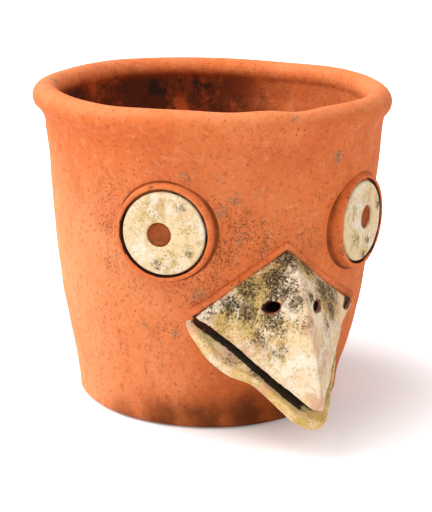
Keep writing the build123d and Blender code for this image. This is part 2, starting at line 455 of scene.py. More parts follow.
paint(pot_wall, "damp_and_shade", damp_and_shade_inside)
soak(pot_wall, "stain_and_shade", stain_places)
soak(pot_wall, "flush", flush_places)
paint(pot_wall, "painted_light", painted_light)
soak(pot_wall, "mould", mould_places)
soak(pot_wall, "lichen", lichen_places)
soft_edges(pot_wall)
hand_on(pot_wall, "pot_wall")

# Rim: a thick roll of red clay on the wall. On the bird's right it is smeared down into the wall, on its
# left it still shows as a roll, and its top edge is painted pale, partly wear and partly a painted highlight
# where light falls from above.
rim_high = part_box("rim_coil")[1]
roll_radius = 8.6 * mm
rim_tilt = 1.5 * mm
rim_drop = 0.5 * mm
wave_height = 1.1 * mm
# Degrees round the roll: where it leaves the wall, where it does when smeared, and where it ends inside
roll_from = -62
smeared_from = -28
roll_to = 214
roll_steps = 24
skirt_steps = 8
# Rise and fall of the rim: turn, height
rim_waves = [
    (-180, -0.2), (-165, 0.2), (-135, -1.0), (-95, -0.2), (-75, -1.0), (-60, -1.4), (-48, -0.6),
    (-34, -0.2), (-20, -1.0), (-8, -0.4), (2, -1.9), (14, -0.6), (30, -0.4), (64, -0.9), (100, 0.0),
    (125, -1.2), (150, -0.8), (180, -0.2),
]


def rim_centre(turn):
    """Middle of the roll at a turn: radius, height."""
    lean = toward_right_of_view(turn)
    wave = smooth_line(rim_waves, (turn + 180) % 360 - 180)
    swell = noise.noise(round_pot(turn, 1.7, 3)) * 0.5 - 0.5
    height = rim_high.z - roll_radius - rim_drop - rim_tilt * lean + wave * wave_height
    return rim_high.x - roll_radius + swell * mm, height


def rim_section(turn):
    """Outline of the rim at a turn: a skirt up from the wall, the roll, and back down to the inside."""
    radius, height = rim_centre(turn)
    rolled = unit((toward_right_of_view(turn) - 0.5) / 0.5) * 0.85
    start = pot_radius(turn, wall_top)
    step = math.radians(roll_from + (smeared_from - roll_from) * (1 - rolled))
    under = (radius + math.cos(step) * roll_radius, height + math.sin(step) * roll_radius)
    climb = (under[1] - wall_top) / mm
    gap = under[0] - pot_radius(turn, under[1])
    skirt = []
    for i in range(skirt_steps + 1):
        share = i / skirt_steps
        hug = pot_radius(turn, wall_top + climb * mm * share) + gap * share**4
        flare = start + (under[0] - start) * (share**2.6)
        skirt.append((hug * rolled + flare * (1 - rolled), wall_top + climb * share * mm))
    roll = []
    for i in range(1, roll_steps + 1):
        a = step + (math.radians(roll_to) - step) * i / roll_steps
        roll.append((radius + math.cos(a) * roll_radius, height + math.sin(a) * roll_radius))
    out, up = roll[-1]
    inside_end = inner_radius(turn, wall_top)
    shares = [i / skirt_steps for i in range(1, skirt_steps + 1)]
    tail = [(out + (inside_end - out) * share**0.8, up + (wall_top - up) * share) for share in shares]
    return skirt + roll + tail


rim = loops_mesh("rim_coil_piece", turned_loops(rim_section), joined=True)
rim.data.materials.append(pot_clay)


def inside_of_rim(at):
    """The same dark of damp soil and painted shade on the inside of the rim, fading towards its crest."""
    radius, height = rim_centre(turn_of(at))
    below = unit((height + 2 * mm - at.z) / (9 * mm))
    return below * damp_and_shade_side(turn_of(at)) if at.xy.length < radius - 2 * mm else 0.0


def top_of_rim(at):
    """How pale the rim is painted, partly wear from rubbing and partly a painted highlight where its crest
    faces the light: most on its crest, and more outside than inside.
    """
    radius, height = rim_centre(turn_of(at))
    crest = max(0, 1 - abs(at.z - height - roll_radius * 0.8) / (5 * mm))
    return crest * (1 if at.xy.length > radius - 3 * mm else 0.5)


paint(rim, "damp_and_shade", inside_of_rim)
paint(rim, "wear_and_highlight", top_of_rim)
soak(rim, "flush", flush_places)
rim_marks = pot_spots(
    (-1, 118, 210, 6, 0.95), (-108, 112, 213, 9, 0.7), (-118, 106, 212, 9, 0.8),
    (150, 112, 213, 9, 0.6), (125, 112, 213, 7, 0.6), (200, 112, 213, 9, 0.7),
    (230, 112, 213, 12, 0.6),
)
soak(rim, "lichen", rim_marks)
soft_edges(rim)
hand_on(rim, "rim_coil")

# Eyes: a collar of red clay pressed onto the wall round a flat disc of pale clay, and a plug of red clay
# pushed back into a round hole in the disc. The gap that runs round each disc is painted near black, and the
# foot of each collar darker, as painted shade.
disc_radius = 26 * mm
ring_inner = 27.6 * mm
ring_outer = 30.6 * mm
# Collar from its hole over its crest: beyond the inner edge, out from the disc's face, unevenness
collar_top = [
    (0, -3, 0.006), (0, -0.9, 0.006), (0.3, -0.35, 0.008), (0.8, -0.05, 0.01), (1.4, 0, 0.012),
    (2.1, -0.3, 0.014), (2.6, -0.9, 0.016), (2.9, -1.9, 0.016),
]
# Its outer side: beyond the outer edge, share of the way down to the wall
collar_side = [(0, 0.3), (0.1, 0.6), (0.3, 0.85)]
# Its foot: beyond the outer edge, out from the wall
collar_foot = [(0.9, 0.35), (2.0, -0.1), (1, -1.5)]
collar_uneven = 0.018
eye_depth = 9 * mm
pupil_radius = 7.6 * mm
pupil_recess = 1.5 * mm
pupil_darkening = 0.75
plug_back = -eye_depth * 0.6
steps_eye = 144
# Turn round the pot, height, and shift of the pupil across and up
eye_places = {
    "right": (-40.5, 136.8 * mm, (-3.0 * mm, -1.0 * mm)),
    "left": (32.5, 133.0 * mm, (6.2 * mm, 1.4 * mm)),
}
eye_face_reach = {"right": 114.7 * mm, "left": 114.5 * mm}


def eye_point(side, across, up, out):
    """Point at an eye: across to the bird's left, up, and out from the face of its disc."""
    turn, height, _ = eye_places[side]
    angle = math.radians(turn)
    outward = Vector((math.sin(angle), -math.cos(angle), 0))
    sideways = Vector((math.cos(angle), math.sin(angle), 0))
    return outward * (eye_face_reach[side] + out) + sideways * across + Vector((0, 0, height + up))


def wall_behind(side, across, up):
    """How far the wall lies behind the face of an eye, at a place on it."""
    out = -6 * mm
    for _ in range(8):
        at = eye_point(side, across, up, out)
        out -= (at.xy.length - pot_radius(turn_of(at), at.z)) * 0.9
    return out


def eye_loop(side, radius, out, shift=(0, 0), wobble=0.0):
    """Ring of points round an eye; out is a number or a function of the place."""
    loop = []
    for i in range(steps_eye):
        a = 2 * math.pi * i / steps_eye
        uneven = 1 + wobble * noise.noise(Vector((math.cos(a), math.sin(a), len(side))) * 1.7)
        across = shift[0] + math.cos(a) * radius * uneven
        up = shift[1] + math.sin(a) * radius * uneven
        loop.append(eye_point(side, across, up, out(across, up) if callable(out) else out))
    return loop


def eye_spots(side, spots):
    """Places on an eye from across, up, reach and strength, lengths in mm."""
    return [(eye_point(side, x * mm, y * mm, 0), reach * mm, strength) for x, y, reach, strength in spots]


def pale_clay(name):
    """Unglazed cream clay: chalky ground, yellow-green growth, black mould and grey lichen, with near-black
    painted shade under the beak and round the eye discs, and pink and mould that partly paint shade.
    """
    clay = Finish(name)
    clay.coat("#F1D6AA")
    clay.coat("#F9EBD6", clay.patches(20, 0.46, 0.6, detail=5, rough=0.65), 0.8)
    clay.coat("#E2B07E", clay.patches(14, 0.52, 0.68, detail=5, offset=(4, 2, 7)), 0.45)
    clay.coat("#E3B24E", clay.ragged("ochre", 10, 1.1, 0.5), 0.6)
    # Pink growth; on the upper beak's face turned from the lamp the same layer paints shade.
    clay.coat("#D8977A", clay.ragged("pink_and_shade", 9, 1.0, 0.45), 0.7)
    clay.coat("#CDB680", clay.patches(3.5, 0.5, 0.64, detail=5, rough=0.7, offset=(2, 6, 0)), 0.55)
    clay.coat("#CDA955", clay.ragged("moss", 6, 1.05, 0.4), 0.75)
    clay.coat("#7E7038", clay.ragged("moss", 1.4, 0.52, 0.14), 0.7)
    few = clay.patches(20, 0.4, 0.6, offset=(1, 8, 2))
    clay.coat("#8B7A4E", clay.times(clay.specks(2.6, 0.24), few), 0.6)
    clay.coat("#8A8268", clay.ragged("lichen", 4, 0.8, 0.4), 0.55)
    clay.coat("#6E5833", clay.ragged("mould", 3.5, 0.95, 0.35), 0.8)
    clay.coat("#2A1F12", clay.ragged("mould", 1.5, 0.68, 0.14), 0.9)
    clay.coat("#84361E", clay.ragged("rust", 4, 1.1, 0.3), 0.85)
    # Painted shade: near black under the beak's fold, in its slot and nostrils, and in the gaps round the
    # eyes.
    clay.coat("#1C0C06", clay.ragged("painted_shade", 6, 1.3, 0.4), 0.96)
    clay.raise_by(clay.grain(12, detail=3), 0.9)
    clay.raise_by(clay.grain(2.5, detail=5), 0.5)
    clay.raise_by(clay.ragged("mould", 1.5, 0.52, 0.1), 0.3)
    clay.raise_by(clay.grain(0.8, detail=3), 0.2)
    return clay.fired(0.88)


eye_clay = pale_clay("pale_clay_eye")
ring_clay = red_clay("red_clay_eye")
disc_growth = {
    "right": {
        "lichen": [(11, 17, 5, 0.8), (16.5, -11, 4, 0.9), (-1, -21, 5, 0.7), (22, -4, 3, 0.6)],
        "moss": [
            (-8, 14, 14, 0.4), (-14, 4, 10, 0.35), (4, -17, 12, 0.55), (15, 6, 10, 0.45), (16, -10, 9, 0.4),
            (0, 18, 10, 0.35),
        ],
        "mould": [(11, 17, 5, 0.45), (-4, -20, 5, 0.5), (17, -11, 3.5, 0.5)],
    },
    "left": {
        "lichen": [(22, 10, 7, 0.9), (-6, -16, 6, 0.5), (4, 14, 7, 0.5)],
        "moss": [(-14, 8, 12, 0.5), (-12, -8, 12, 0.45), (4, -18, 10, 0.4), (6, 16, 10, 0.4)],
        "mould": [(22, 6, 5, 0.6), (3, -23, 4, 0.9), (-8, -12, 6, 0.4), (8, -14, 5, 0.45)],
    },
}
ring_marks = {
    "right": [(-8, 29, 4, 0.9), (27, -16, 4, 0.9), (20, 22, 4, 0.5)],
    "left": [(-22, 22, 5, 0.9), (-26, -14, 6, 0.8), (6, 30, 5, 0.9)],
}
for side, (_, _, pupil_shift) in eye_places.items():

    def foot(extra):
        return lambda across, up: wall_behind(side, across, up) + extra * mm

    def slope(share):
        start = collar_top[-1][1] * mm
        return lambda across, up: start + (wall_behind(side, across, up) - start) * share

    loops = [eye_loop(side, ring_inner, foot(-1.5), wobble=0.006)]
    for wider, out, uneven in collar_top:
        loops.append(eye_loop(side, ring_inner + wider * mm, out * mm, wobble=uneven))
    for wider, share in collar_side:
        loops.append(eye_loop(side, ring_outer + wider * mm, slope(share), wobble=collar_uneven))
    for wider, out in collar_foot:
        loops.append(eye_loop(side, ring_outer + wider * mm, foot(out), wobble=collar_uneven))
    ring = loops_mesh(f"eye_ring_{side}_piece", loops, joined=True)
    ring.data.materials.append(ring_clay)
    centre = eye_point(side, 0, 0, 0)
    shaded_from = ring_outer + 0.2 * mm
    # Painted shade along the foot of the collar, where it stands off the wall.
    paint(ring, "stain_and_shade", lambda at: min(max((at - centre).length - shaded_from, 0) / (1.2 * mm), 0.85))
    # Painted shade, near black, on the collar's inner side in the gap round the disc.
    paint(ring, "painted_shade", lambda at: 0.9 if (at - centre).length < ring_inner + 0.25 * mm else 0.0)
    soak(ring, "mould", eye_spots(side, ring_marks[side]))
    soft_edges(ring, 60)
    hand_on(ring, f"eye_ring_{side}")

    def face_swell(across, up):
        return 0.35 * mm * noise.noise(Vector((across / mm / 11, up / mm / 11, len(side)))) - 0.3 * mm

    def between(share):
        """A ring of the disc's face, part of the way from the pupil's hole to the edge."""
        hole = pupil_radius + 0.7 * mm
        radius = hole + (disc_radius - 0.9 * mm - hole) * share
        shift = tuple(offset * (1 - share) for offset in pupil_shift)
        return eye_loop(side, radius, face_swell, shift, wobble=0.004)

    disc = loops_mesh(
        f"eye_disc_{side}_piece",
        [
            eye_loop(side, pupil_radius + 0.1 * mm, plug_back, pupil_shift),
            eye_loop(side, pupil_radius + 0.1 * mm, -1.2 * mm, pupil_shift),
            eye_loop(side, pupil_radius + 0.25 * mm, -0.7 * mm, pupil_shift),
        ]
        + [between(i / 12) for i in range(13)]
        + [
            eye_loop(side, disc_radius - 0.3 * mm, -0.75 * mm, wobble=0.004),
            eye_loop(side, disc_radius, -1.4 * mm, wobble=0.004),
            eye_loop(side, disc_radius, foot(-1.5), wobble=0.004),
            eye_loop(side, disc_radius * 0.6, -eye_depth * 0.7),
        ],
        joined=True,
    )
    disc.data.materials.append(eye_clay)
    for mark, spots in disc_growth[side].items():
        soak(disc, mark, eye_spots(side, spots))
    # Painted shade, near black, on the disc's rim in the gap round it.
    paint(disc, "painted_shade", lambda at: 0.9 if (at - centre).length > disc_radius + 0.25 * mm else 0.0)
    soft_edges(disc, 60)
    hand_on(disc, f"eye_disc_{side}")

    def pupil_face(across, up):
        return -pupil_recess + 0.35 * mm * noise.noise(Vector((across, up, 0)) / mm / 3)

    shares = (0.02, 0.25, 0.5, 0.75, 0.9)
    pupil = loops_mesh(
        f"pupil_{side}_piece",
        [eye_loop(side, pupil_radius * share, pupil_face, pupil_shift) for share in shares]
        + [
            eye_loop(side, pupil_radius, -pupil_recess - 0.5 * mm, pupil_shift),
            eye_loop(side, pupil_radius, plug_back, pupil_shift),
            eye_loop(side, pupil_radius * 0.02, plug_back, pupil_shift),
        ],
    )
    pupil.data.materials.append(ring_clay)
    soak(pupil, "mould", [(eye_point(side, pupil_shift[0], pupil_shift[1] - 5 * mm, 0), 12 * mm, 0.9)])
    # The whole plug is darkened evenly.
    paint(pupil, "stain_and_shade", lambda at: pupil_darkening)
    soft_edges(pupil, 60)
    hand_on(pupil, f"pupil_{side}")

# Lower beak: a slab of pale clay pressed onto the wall at a slope, hollowed with a thumb so that a lip
# stands up round it. It is wider on the bird's right, and its tip reaches past the upper beak.
beak_tip = Vector((0, -151.2, 33.2)) * mm
mouth_slope = math.radians(37)
mouth_lean = math.radians(3)
beak_forward = Vector((0, -math.cos(mouth_slope), -math.sin(mouth_slope)))
beak_across = Vector((math.cos(mouth_lean), 0, -math.sin(mouth_lean)))
beak_up = beak_forward.cross(beak_across)
clay_voxel = 0.85 * mm


def beak_point(back, across, up):
    """Point at the beak in millimetres: back from the upper tip, to the bird's left, up from the mouth."""
    return beak_tip + (beak_across * across + beak_up * up - beak_forward * back) * mm


def beak_place(at):
    """The same three measures of a point."""
    away = (at - beak_tip) / mm
    return -away.dot(beak_forward), away.dot(beak_across), away.dot(beak_up)


def carve(piece, cutter):
    """Cut one closed piece out of another and drop the cutter."""
    cut = piece.modifiers.new("cut", "BOOLEAN")
    cut.operation = "DIFFERENCE"
    cut.solver = "EXACT"
    cut.object = cutter
    settle(piece)
    bpy.data.objects.remove(cutter)


def settle(piece):
    """Turn a piece with its modifiers into a plain mesh."""
    held = piece.evaluated_get(bpy.context.evaluated_depsgraph_get())
    mesh = bpy.data.meshes.new_from_object(held)
    piece.modifiers.clear()
    piece.data = mesh


def press(piece, voxel, rounds):
    """Even the clay out: one skin of small faces with its edges softened."""
    skin = piece.modifiers.new("skin", "REMESH")
    skin.mode = "VOXEL"
    skin.voxel_size = voxel
    soften = piece.modifiers.new("soften", "SMOOTH")
    soften.factor = 0.5
    soften.iterations = rounds
    settle(piece)
    piece.data.shade_smooth()


def at_wall(place, outward):
    """How far back along the beak a run of places comes within a distance of the pot's face."""
    near, far = 40.0, 120.0
    for _ in range(20):
        middle = (near + far) / 2
        at = place(middle)
        outside = at.xy.length > pot_radius(turn_of(at), at.z) + outward
        near, far = (middle, far) if outside else (near, middle)
    return near


# Edge of the lower slab, from the wall on the bird's right round the tip: back, across
lip_outline = [
    (100, -56), (86, -57.0), (74, -57.4), (63.3, -55.8), (52.8, -53.0), (44.1, -48.8), (37.5, -43.0),
    (33.0, -36.2), (28.7, -30.2), (22.2, -26.0), (14.7, -22.2), (6.4, -17.6), (-0.7, -13.6),
    (-5.0, -8.4), (-7.4, -3.0), (-7.6, 2.4), (-4.2, 7.0), (2.2, 11.6), (12.1, 17.2), (21.3, 23.2),
    (29.7, 28.2), (48.0, 38.0), (66.0, 47.0), (80.0, 51.0), (100.0, 52.0),
]
slot_gap = 4.6
lower_slab = 5.8
lip_width = 7.0
dish_depth = 2.6


def smooth_outline(points, pieces):
    """Outline through given points, with pieces short runs between neighbours."""
    keyed = [(i, *point) for i, point in enumerate(points)]
    count = (len(points) - 1) * pieces
    return [smooth_line(keyed, i / pieces) for i in range(count + 1)]


def lower_loop(up, shrink):
    """Edge of the lower slab at a height, closed along a line inside the wall."""
    edge = smooth_outline(lip_outline, 6)
    first, last = edge[0][1], edge[-1][1]
    edge += [(100, last + (first - last) * i / 30) for i in range(1, 30)]
    loop = []
    for back, across in edge:
        pull = Vector((45 - back, 2 - across)).normalized() * shrink
        side = across + pull.y
        stop = at_wall(lambda run: beak_point(run, side, up), -4 * mm)
        loop.append(beak_point(min(back + pull.x, stop), side, up))
    return loop


lower_faces = ((-lower_slab, 0.6), (-lower_slab + 1, 0), (-1, 0), (0, 0.6))
lower = loops_mesh("beak_lower_piece", [lower_loop(up - slot_gap, shrink) for up, shrink in lower_faces])
press(lower, clay_voxel, 3)
edge_line = [Vector(point) for point in smooth_outline(lip_outline, 3)]
for vertex in lower.data.vertices:
    back, across, up = beak_place(vertex.co)
    near = min((Vector((back, across)) - point).length for point in edge_line)
    inward = unit((near - 1.5) / lip_width)
    top = unit((up + slot_gap + lower_slab * 0.6) / (lower_slab * 0.6))
    sink = dish_depth * inward * inward * (3 - 2 * inward) * top
    lip = (1 - inward) * 0.5 * noise.noise(Vector((back, across, 0)) / 14)
    swell = 0.5 * noise.noise(Vector((back, across, up)) / 9)
    vertex.co += beak_up * (lip + swell * 0.5 - sink) * mm
beak_clay = pale_clay("pale_clay_beak")
lower.data.materials.append(beak_clay)


def beak_spots(*spots):
    """Places on the beak from back, across, up, reach and strength, lengths in mm."""
    return [(beak_point(*place), reach * mm, strength) for *place, reach, strength in spots]


soak(lower, "ochre", beak_spots(
    (0, -6, -6, 26, 1.0), (-4, 4, -7, 20, 1.0), (18, -20, -7, 22, 0.9), (14, 16, -6, 24, 0.9),
    (34, -38, -8, 18, 0.7), (60, -54, -8, 20, 0.6), (40, 34, -6, 24, 0.7),
))
soak(lower, "moss", beak_spots(
    (2, -6, -5, 18, 0.4), (-5, 5, -8, 14, 0.45), (16, -18, -6, 12, 0.4), (60, -54, -8, 16, 0.5),
    (30, -34, -9, 14, 0.45), (14, 16, -6, 18, 0.5), (40, 34, -6, 24, 0.5), (44, -46, -10, 12, 0.45),
))
soak(lower, "mould", beak_spots(
    (46, -38, -5, 9, 0.5), (34, -26, -5, 8, 0.6), (8, -8, -5, 6, 0.3), (78, -58, -5, 8, 0.4),
))
soak(lower, "pink_and_shade", beak_spots((50, -46, -6, 14, 0.7), (24, -26, -6, 10, 0.6), (70, -56, -6, 10, 0.5)))
hand_on(lower, "beak_lower")

# Upper beak: a slab of pale clay folded along a soft ridge over an open hollow, with a nostril pushed
# through each side and a small gap left where its edge meets the corner of the mouth. Mould and lichen
# have grown over its upper half; painted shade darkens the hollow, the nostrils and the face turned from the
# lamp.
crown_right = 3.4
crown_left = 1.4
slab = 6.0
hollow_from = 15
upper_stand = 2.6 * mm
# Mouth edge: back, half width on the bird's right, half width on its left
mouth_edge = [
    (-0.5, 3.0, 4.2), (3, 5.4, 6.4), (8, 8.7, 9.4), (16, 14.2, 15.0), (24, 19.4, 20.6),
    (32, 24.0, 26.0), (43, 31.0, 33.4), (55, 37.8, 42.0), (65, 45.5, 49.4), (74, 54.6, 58.8),
    (82, 58.0, 62.5), (106, 60.0, 64.0),
]
# Ridge: back, across, up
ridge_line = [
    (-0.5, 0.4, 4.8), (1.0, 0.0, 8.6), (4, -0.8, 12.5), (12, -2.6, 21.4), (20, -4.2, 28.8),
    (30, -5.8, 36.0), (40, -6.4, 42.6), (50, -6.2, 49.0), (60, -5.6, 51.6), (70, -4.8, 51.8),
    (80, -3.8, 50.2), (90, -3.0, 48.0), (106, -3.0, 45.0),
]
stations = [-0.5, 0.6, 2, 4, 7, 10, 14, 18, 22, 27, 32, 38, 44, 50, 56, 62, 68, 74, 80, 86, 92, 98, 104]


def beak_section(back, inset):
    """Ring of points round the folded slab's outside, or inset by its thickness, at a distance back."""
    right, left = smooth_line(mouth_edge, back)
    across, up = smooth_line(ridge_line, back)
    full = min(max(back / 40, 0.1), 1)
    wave = 0.7 * noise.noise(Vector((back / 11, 0, 5))) * full
    foot_up = wave - (1 if inset else 0)
    drop = inset * math.hypot((right + left) / 2, up) / ((right + left) / 2)
    widen = inset * math.hypot((right + left) / 2, up) / up
    droop = 2.0 * math.exp(-(((back - 80) / 7) ** 2))
    ring = []
    for side, edge, crown in ((-1, right, crown_right), (1, left, crown_left)):
        foot_at = Vector((side * max(edge - widen, 0.5), foot_up - (droop if side > 0 else 0)))
        head_at = Vector((across, max(up - drop, 0.8)))
        run = head_at - foot_at
        out = Vector((side * abs(run.y), abs(run.x))).normalized()
        shares = [i / 12 for i in range(13)]
        half = [foot_at + run * t + out * crown * full * math.sin(math.pi * t) ** 0.8 for t in shares]
        ring += half if side < 0 else half[-2::-1]
    return [beak_point(back, point.x, point.y) for point in ring]


def nostril_frame(back, across, up, facing, lying, length, height):
    """Middle of a nostril, the direction it points out, and its half length and half height as vectors."""
    out, along = (
        beak_across * sideways + beak_up * upward - beak_forward * rearward
        for sideways, upward, rearward in (facing, lying)
    )
    out = out.normalized()
    along = (along - out * along.dot(out)).normalized()
    return beak_point(back, across, up), out, along * (length / 2 * mm), out.cross(along) * (height / 2 * mm)


def nostril_cutter(middle, out, along, over):
    """Oval plug through the slab."""
    turns = [2 * math.pi * i / 28 for i in range(28)]
    oval = [along * math.cos(a) * (1 + 0.12 * math.sin(2 * a + 0.7)) + over * math.sin(a) for a in turns]
    return loops_mesh("plug", [[middle + point + out * depth * mm for point in oval] for depth in (-11, 9)])


def upper_loops():
    """Rings of the folded slab's outside, each column of points ended short of the wall."""
    columns = range(len(beak_section(0, 0)))
    ends = [at_wall(lambda back: beak_section(back, 0)[i], upper_stand) for i in columns]
    loops = []
    for k, back in enumerate(stations):
        short = 0.05 * (len(stations) - k)
        loops.append([beak_section(min(back, end - short), 0)[i] for i, end in enumerate(ends)])
    return loops


upper = loops_mesh("beak_upper_piece", upper_loops())
carve(upper, loops_mesh("hollow", [beak_section(back, slab) for back in stations if back > hollow_from]))
press(upper, clay_voxel, 0)
# Bird's right nostril, left nostril, and the gap at the corner of the mouth
nostrils = [
    nostril_frame(55.6, -21.5, 33.6, (-0.71, 0.49, -0.48), (0.65, 0.74, -0.5), 10.6, 6.0),
    nostril_frame(51.8, 7.4, 36.6, (0.66, 0.6, -0.48), (0.74, -0.41, 0.5), 12.5, 6.4),
    nostril_frame(76.0, 54.6, 3.6, (0.66, 0.6, -0.48), (0.6, -0.3, 0.7), 15.0, 6.6),
]
for nostril in nostrils:
    carve(upper, nostril_cutter(*nostril))
press(upper, clay_voxel, 5)
normals = [vertex.normal.copy() for vertex in upper.data.vertices]
for vertex, normal in zip(upper.data.vertices, normals):
    at = vertex.co / mm
    swell = noise.noise(at / 17) * 0.7 + noise.noise(at / 6 + Vector((3, 0, 0))) * 0.3
    vertex.co += normal * swell * mm
upper.data.materials.append(beak_clay)
# Mould over the upper half; the spots at across 22 to 32 on the bird's left face are darkened further to paint
# the shade on that face, which is turned from the lamp.
soak(upper, "mould", beak_spots(
    (82, -6, 47, 17, 1.0), (70, -14, 40, 17, 0.9), (74, -28, 28, 13, 0.8), (60, -10, 42, 15, 0.85),
    (63, -16, 36, 11, 1.0), (52, -9, 42, 10, 0.9), (70, -38, 18, 12, 0.85), (54, 2, 46, 8, 0.95),
    (60, 30, 22, 14, 0.8), (66, 22, 32, 16, 0.85), (70, 32, 24, 16, 0.7), (46, -28, 16, 9, 0.6),
    (62, -30, 20, 13, 0.75), (34, -18, 18, 9, 0.4), (80, 10, 40, 16, 0.7), (50, -20, 28, 15, 0.7),
    (56, 14, 38, 10, 0.7), (74, 36, 18, 12, 0.6), (46, 22, 24, 12, 0.5), (76, -48, 8, 10, 0.5),
    (40, -8, 36, 9, 0.5),
))
soak(upper, "moss", beak_spots(
    (72, -22, 32, 28, 0.9), (60, -24, 26, 22, 0.85), (54, -30, 16, 20, 0.8), (64, -42, 8, 18, 0.8),
    (46, -18, 26, 18, 0.7), (76, 10, 40, 20, 0.7), (62, 22, 30, 20, 0.75), (36, -22, 12, 14, 0.5),
    (30, 12, 24, 16, 0.4), (66, 34, 14, 16, 0.6), (18, 4, 20, 14, 0.3),
))
soak(upper, "lichen", beak_spots(
    (43, -26, 14, 8, 0.85), (51, -8, 42, 9, 0.7), (60, 32, 20, 12, 0.7), (74, -34, 22, 8, 0.6),
    (25, -8, 26, 5, 0.4),
))
# Pink growth; the spot at back 58, across 30 paints the shade on the bird's left face, which is turned from
# the lamp.
soak(upper, "pink_and_shade", beak_spots(
    (2, -2, 6, 12, 1.0), (36, -4, 40, 14, 0.8), (24, 0, 32, 12, 0.7), (14, 0, 24, 10, 0.6),
    (44, -26, 6, 16, 0.6), (76, -22, 34, 9, 0.5), (50, 4, 44, 12, 0.6), (66, -46, 4, 12, 0.6),
    (58, 30, 20, 24, 0.8), (30, 16, 16, 18, 0.6),
))


def at_nostril(at, deep):
    """1 on the walls of a nostril, fading out on the clay round it; deep leaves out its outer edge."""
    amount = 0.0
    outermost = (-1.5 if deep else 9) * mm
    for middle, out, along, over in nostrils:
        away = at - middle
        reach = math.hypot(away.dot(along) / along.length_squared, away.dot(over) / over.length_squared)
        if away.dot(out) < outermost:
            amount = max(amount, unit((1.5 - reach) / 0.4))
    return amount


def under_fold(at, margin, spill=0.0):
    """1 under the folded slab, 0 on its outside: where painted shade darkens the hollow under the fold."""
    back, across, up = beak_place(at)
    right, left = smooth_line(mouth_edge, back)
    ridge_across, ridge_up = smooth_line(ridge_line, back)
    edge = -right if across < ridge_across else left
    share = (across - ridge_across) / (edge - ridge_across)
    below = ridge_up * (1 - share) - max(up, 0)
    away_from_tip = unit((back - 4) / 7)
    if back >= 112 or not 0 <= share < 1 + spill:
        return 0.0
    return unit((below - margin) / 3) * away_from_tip


def wall_shade(at):
    """Painted shade on the wall that closes the back of the mouth: all of the slot, and under the fold."""
    back, across, up = beak_place(at)
    if at.y > 0 or up < -13:
        return 0.0
    in_slot = -8 < up < 1.5 and -56.5 < across < 61
    return 1.0 if in_slot else under_fold(at, 4.0)


# Painted shade, near black: under the folded slab, on the deep walls of the nostrils and the corner gap, on
# the lower slab's top beneath the fold, and on the wall in the slot.
paint(upper, "painted_shade", lambda at: max(under_fold(at, 5.5), at_nostril(at, True)))
paint(upper, "rust", lambda at: at_nostril(at, False))
paint(lower, "painted_shade", lambda at: under_fold(at, -1.5, 0.03) if beak_place(at)[2] > -9 else 0.0)
paint(pot_wall, "painted_shade", wall_shade)
hand_on(upper, "beak_upper")

# Seam: a thin coil of red clay, rolled by hand and worked along the upper edges of the beak, which seals
# them to the wall. It was laid in one run over the ridge.
seam_radius = 2.3 * mm
seam_stand = 1.0 * mm
seam_least = 0.7
seam_lumps = 160


def wall_meet(across, up):
    """Where a line straight back through the beak reaches the wall."""
    at = beak_point(at_wall(lambda back: beak_point(back, across, up), 0), across, up)
    return at + Vector((at.x, at.y, 0)).normalized() * seam_stand


def seam_route():
    """Points of the coil, from the mouth's corner on the bird's right over the ridge to its left."""
    across, up = smooth_line(ridge_line, 84)
    right, left = smooth_line(mouth_edge, 78)
    ends = [(-right + 0.6, 0.6), (across, up + 0.4), (left - 0.6, 0.6)]
    route = []
    for (x0, y0), (x1, y1), crown in ((ends[0], ends[1], crown_right), (ends[1], ends[2], crown_left)):
        run = Vector((x1 - x0, y1 - y0))
        out = Vector((-run.y, run.x)).normalized()
        for i in range(14):
            t = i / 14
            point = Vector((x0, y0)) + run * t + out * (crown * math.sin(math.pi * t) - 0.2)
            route.append(wall_meet(point.x, point.y))
    route.append(wall_meet(*ends[2]))
    return route


def coil_tree(name, material):
    """Rolls a coil along a curve: its thickness, how uneven it is, and how many sides it has."""
    tree = bpy.data.node_groups.new(name, "GeometryNodeTree")
    face = tree.interface
    face.new_socket("Geometry", in_out="INPUT", socket_type="NodeSocketGeometry")
    for label, kind, value in (
        ("Coil radius", "NodeSocketFloat", seam_radius),
        ("Uneven share", "NodeSocketFloat", 0.6),
        ("Step", "NodeSocketFloat", 0.9 * mm),
        ("Sides", "NodeSocketInt", 16),
    ):
        face.new_socket(label, in_out="INPUT", socket_type=kind).default_value = value
    face.new_socket("Geometry", in_out="OUTPUT", socket_type="NodeSocketGeometry")
    add = tree.nodes.new

    def link(start, output, end, socket):
        tree.links.new(start.outputs[output], end.inputs[socket])

    given = add("NodeGroupInput")
    even = add("GeometryNodeResampleCurve")
    even.mode = "LENGTH"
    link(given, "Geometry", even, "Curve")
    link(given, "Step", even, "Length")
    place = add("GeometryNodeInputPosition")
    cloud = add("ShaderNodeTexNoise")
    cloud.inputs["Scale"].default_value = seam_lumps
    link(place, 0, cloud, "Vector")
    vary = add("ShaderNodeMath")
    vary.operation = "MULTIPLY_ADD"
    link(cloud, "Fac", vary, 0)
    link(given, "Uneven share", vary, 1)
    vary.inputs[2].default_value = seam_least
    profile = add("GeometryNodeCurvePrimitiveCircle")
    link(given, "Sides", profile, "Resolution")
    link(given, "Coil radius", profile, "Radius")
    skin = add("GeometryNodeCurveToMesh")
    skin.inputs["Fill Caps"].default_value = True
    link(even, "Curve", skin, "Curve")
    link(profile, "Curve", skin, "Profile Curve")
    link(vary, 0, skin, "Scale")
    whole = add("GeometryNodeRealizeInstances")
    link(skin, "Mesh", whole, 0)
    clad = add("GeometryNodeSetMaterial")
    clad.inputs["Material"].default_value = material
    link(whole, 0, clad, "Geometry")
    link(clad, "Geometry", add("NodeGroupOutput"), "Geometry")
    return tree


